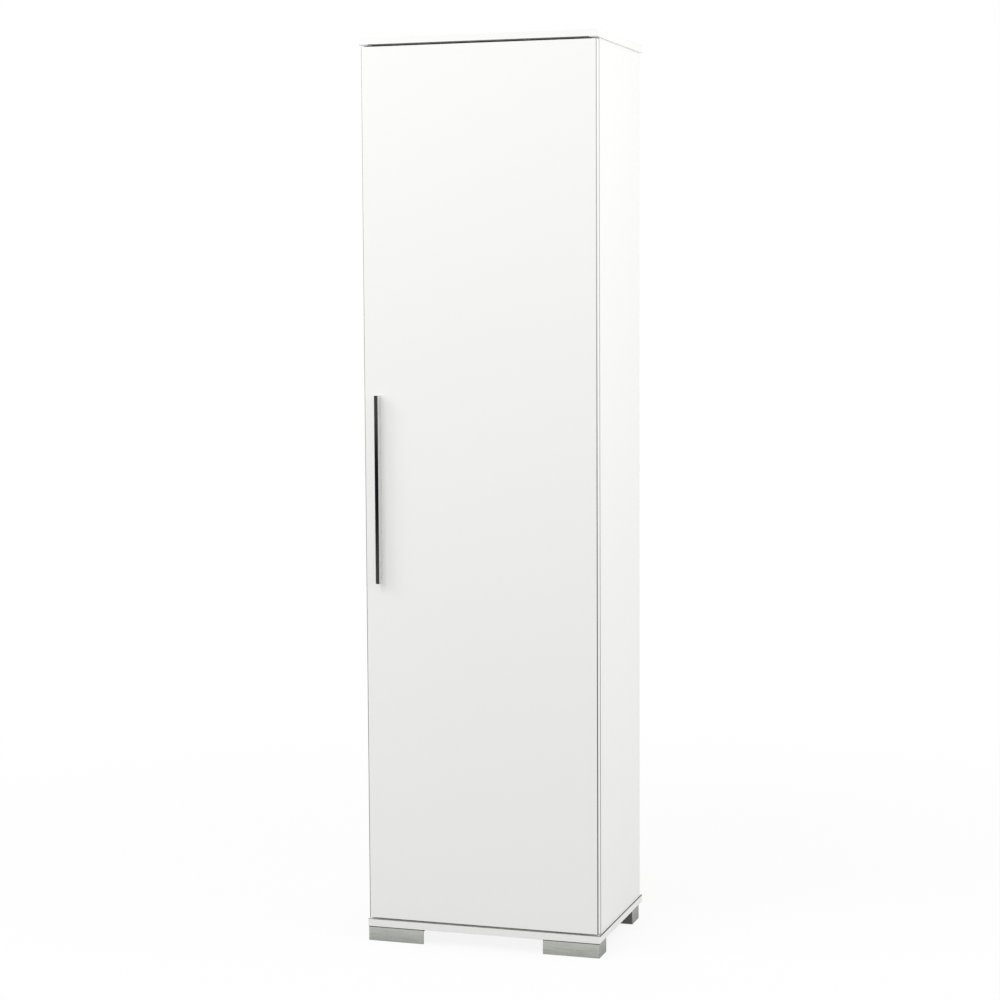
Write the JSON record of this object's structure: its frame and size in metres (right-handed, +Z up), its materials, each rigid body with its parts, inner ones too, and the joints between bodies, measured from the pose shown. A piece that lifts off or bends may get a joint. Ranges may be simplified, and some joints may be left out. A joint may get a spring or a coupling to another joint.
{
  "type": "broom cupboard",
  "caption": "Tall narrow white high-gloss broom cupboard with a full-height door on concealed hinges, a slim vertical handle, shelves over a tall space, and low angle feet.",
  "frame": {"origin": "on the floor, under the middle of the bounding box", "axes": "+Z up, the door faces -Y, +X to the right seen from the front"},
  "size_m": [0.5, 0.37, 1.86],
  "materials": {
    "white_gloss_board": "white high-gloss foil on chipboard",
    "white_edging": "white high-gloss edge band",
    "white_backboard": "white printed hardboard",
    "silver_foot": "silver-grey lacquer",
    "handle_metal": "bright anodised",
    "hinge_steel": "nickel plate",
    "screw_steel": "zinc plate",
    "cam_metal": "cast zinc",
    "white_cap": "moulded white",
    "dowel_wood": "fluted beech",
    "pin_steel": "nickel plate",
    "clear_rubber": "translucent soft rubber"
  },
  "bodies": {
    "carcass": {"top_panel": "white_gloss_board", "bottom_panel": "white_gloss_board", "left_side_panel": "white_gloss_board", "right_side_panel": "white_gloss_board", "fixed_shelf": "white_gloss_board", "adjustable_shelf": "white_gloss_board", "top_panel_edging": "white_edging", "bottom_panel_edging": "white_edging", "side_panel_edgings": "white_edging", "shelf_edgings": "white_edging", "back_panel": "white_backboard", "front_left_foot": "silver_foot", "front_right_foot": "silver_foot", "rear_left_foot": "silver_foot", "rear_right_foot": "silver_foot", "hinge_mounting_plates": "hinge_steel", "hinge_arms": "hinge_steel", "hinge_arm_pins": "hinge_steel", "foot_screws": "screw_steel", "hinge_plate_screws": "screw_steel", "hinge_arm_screws": "screw_steel", "back_panel_nails": "screw_steel", "cam_bolts": "screw_steel", "cam_locks": "cam_metal", "cam_cover_caps": "white_cap", "wooden_dowels": "dowel_wood", "shelf_pins": "pin_steel"},
    "door": {"door_panel": "white_gloss_board", "door_edgings": "white_edging", "hinge_cups": "hinge_steel", "hinge_cup_screws": "screw_steel", "hinge_cup_pins": "hinge_steel", "handle_bar": "handle_metal", "handle_screws": "screw_steel", "door_bumpers": "clear_rubber"},
    "outer_links": {"hinge_outer_links": "hinge_steel"},
    "inner_links": {"hinge_inner_links": "hinge_steel", "hinge_rear_pins": "hinge_steel"}
  },
  "joints": [
    {"name": "door_swing", "type": "hinge", "parent": "outer_links", "child": "door", "pos_m": [0.2331, -0.1506, 0.945], "axis": [0, 0, 1], "range_deg": [0, 143]},
    {"name": "outer_link_swing", "type": "hinge", "parent": "carcass", "child": "outer_links", "pos_m": [0.2138, -0.152, 0.945], "axis": [0, 0, -1], "range_deg": [0, 43.1]},
    {"name": "inner_link_swing", "type": "hinge", "parent": "door", "child": "inner_links", "pos_m": [0.2365, -0.1473, 0.945], "axis": [0, 0, -1], "range_deg": [0, 133.6]}
  ],
  "couplings": [
    {"joint": "outer_link_swing", "follows": "door_swing", "ratio": 0.3007},
    {"joint": "inner_link_swing", "follows": "door_swing", "ratio": 0.93357}
  ]
}
